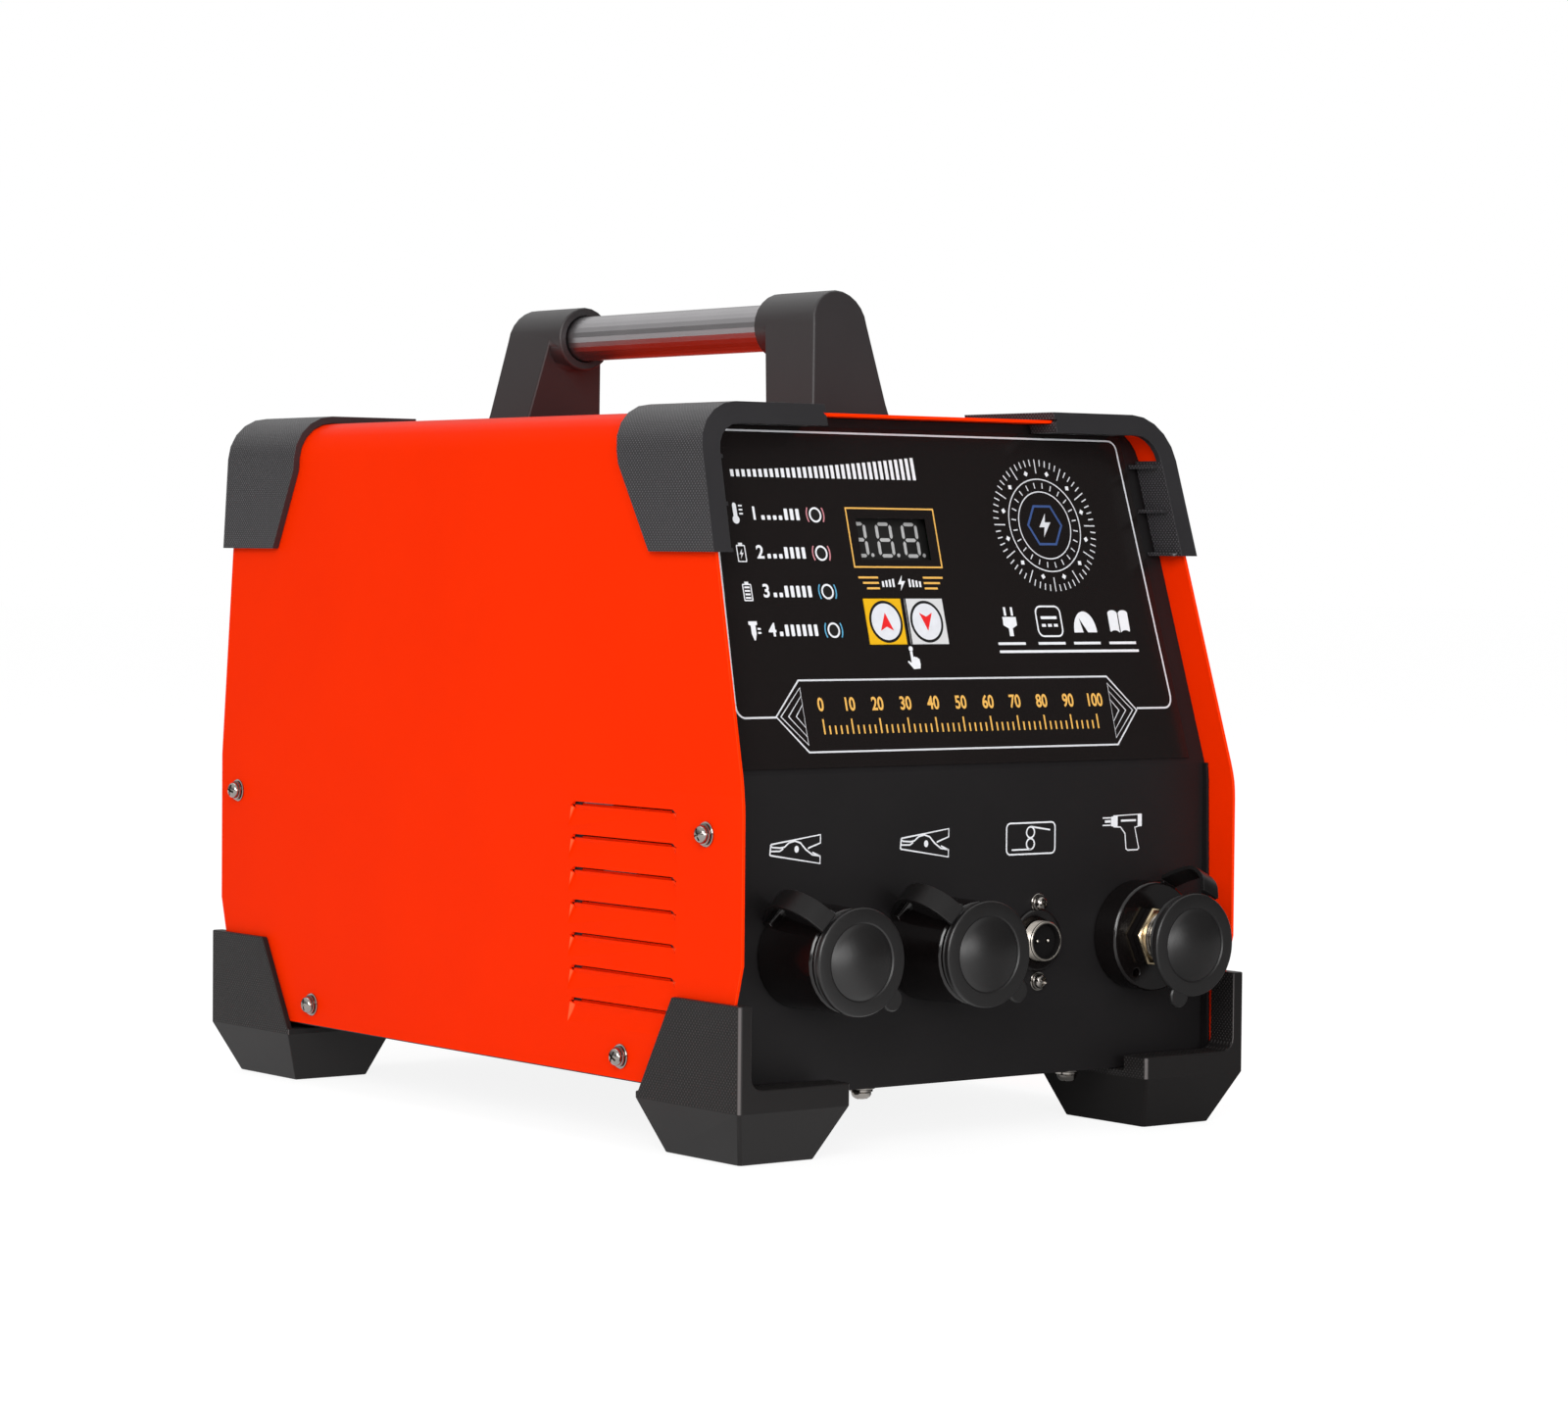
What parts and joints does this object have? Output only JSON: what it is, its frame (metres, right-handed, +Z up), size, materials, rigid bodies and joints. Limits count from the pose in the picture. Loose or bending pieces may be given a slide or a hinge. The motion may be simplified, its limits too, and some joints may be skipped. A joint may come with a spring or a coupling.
{
  "type": "capacitor discharge stud welder",
  "caption": "Portable capacitor discharge stud welding power unit: sheet-metal box with leaning control panel, corner guards, feet, carrying handle and capped sockets.",
  "frame": {"origin": "on the ground under the middle of the bounding box", "axes": "+Z up; the control panel and sockets face -Y; +X is the right-hand side for someone facing the panel"},
  "size_m": [0.2504, 0.4038, 0.3295],
  "materials": {
    "cover_paint": "satin powder coat",
    "pan_paint": "matt",
    "panel_paint": "matt black",
    "guard_plastic": "fine grain",
    "foot_plastic": "fine grain",
    "handle_plastic": "satin",
    "tube_metal": "dark polished",
    "label_film": "gloss printed film",
    "board": "satin",
    "display": "gloss",
    "key_yellow": "gloss",
    "key_white": "gloss",
    "gloss_black": "gloss",
    "brass": "bright",
    "rubber": "matt",
    "nickel": "bright",
    "fan_plastic": "matt",
    "guard_wire": "bright",
    "rocker_red": "gloss",
    "gland_plastic": "satin",
    "bracket_metal": "galvanised",
    "copper": "bright",
    "core_steel": "dark",
    "winding": "enamelled",
    "sink_aluminium": "extruded",
    "module_plastic": "matt",
    "capacitor_sleeve": "sleeve",
    "lamp_lens": "translucent"
  },
  "bodies": {
    "unit": {"cover": "cover_paint", "base_pan": "pan_paint", "front_panel": "panel_paint", "rear_panel": "panel_paint", "handle_post_front": "handle_plastic", "handle_post_rear": "handle_plastic", "handle_tube": "tube_metal", "label_film": "label_film", "control_board": "board", "display_module": "display", "gun_socket": "gloss_black", "gun_barrel": "brass", "cap_strap_gun": "rubber", "signal_connector_shell": "nickel", "signal_connector_insert": "gloss_black", "signal_pin_1": "nickel", "signal_pin_2": "nickel", "fan_frame": "fan_plastic", "fan_guard": "guard_wire", "power_switch_body": "gloss_black", "cable_gland": "gland_plastic", "capacitor_bracket": "bracket_metal", "bus_bar_positive": "copper", "bus_bar_negative": "copper", "output_bar_ground": "copper", "output_bar_gun": "copper", "transformer_core": "core_steel", "transformer_coil": "winding", "heat_sink": "sink_aluminium", "thyristor_module": "module_plastic", "guard_front_left": "guard_plastic", "foot_front_left": "foot_plastic", "guard_front_right": "guard_plastic", "foot_front_right": "foot_plastic", "guard_rear_left": "guard_plastic", "foot_rear_left": "foot_plastic", "guard_rear_right": "guard_plastic", "foot_rear_right": "foot_plastic", "status_lamp_1": "lamp_lens", "capacitor_1": "capacitor_sleeve", "status_lamp_2": "lamp_lens", "capacitor_2": "capacitor_sleeve", "status_lamp_3": "lamp_lens", "capacitor_3": "capacitor_sleeve", "status_lamp_4": "lamp_lens", "capacitor_4": "capacitor_sleeve", "ground_socket_left": "gloss_black", "ground_contact_left": "brass", "cap_strap_left": "rubber", "ground_socket_middle": "gloss_black", "ground_contact_middle": "brass", "cap_strap_middle": "rubber"},
    "key_up": {"key_up": "key_yellow"},
    "key_down": {"key_down": "key_white"},
    "cap_left": {"cap_left": "rubber"},
    "cap_middle": {"cap_middle": "rubber"},
    "cap_gun": {"cap_gun": "rubber"},
    "fan_rotor": {"fan_rotor": "fan_plastic"},
    "power_rocker": {"power_rocker": "rocker_red"}
  },
  "joints": [
    {"name": "key_up_press", "type": "slide", "parent": "unit", "child": "key_up", "axis": [0, 0.963, -0.2696], "range_m": [0, 0.0006], "stiffness_N_per_m": 1500},
    {"name": "key_down_press", "type": "slide", "parent": "unit", "child": "key_down", "axis": [0, 0.963, -0.2696], "range_m": [0, 0.0006], "stiffness_N_per_m": 1500},
    {"name": "cap_left_pull", "type": "slide", "parent": "unit", "child": "cap_left", "axis": [0, -1, 0], "range_m": [0, 0.014], "deforming": ["cap_strap_left"]},
    {"name": "cap_middle_pull", "type": "slide", "parent": "unit", "child": "cap_middle", "axis": [0, -1, 0], "range_m": [0, 0.014], "deforming": ["cap_strap_middle"]},
    {"name": "cap_gun_pull", "type": "slide", "parent": "unit", "child": "cap_gun", "axis": [0, -1, 0], "range_m": [0, 0.016], "deforming": ["cap_strap_gun"]},
    {"name": "fan_spin", "type": "hinge", "parent": "unit", "child": "fan_rotor", "pos_m": [0.034, 0.16, 0.168], "axis": [0, 1, 0], "continuous": true},
    {"name": "power_rocker_tip", "type": "hinge", "parent": "unit", "child": "power_rocker", "pos_m": [-0.072, 0.18005, 0.205], "axis": [1, 0, 0], "range_deg": [0, 22.9]}
  ]
}
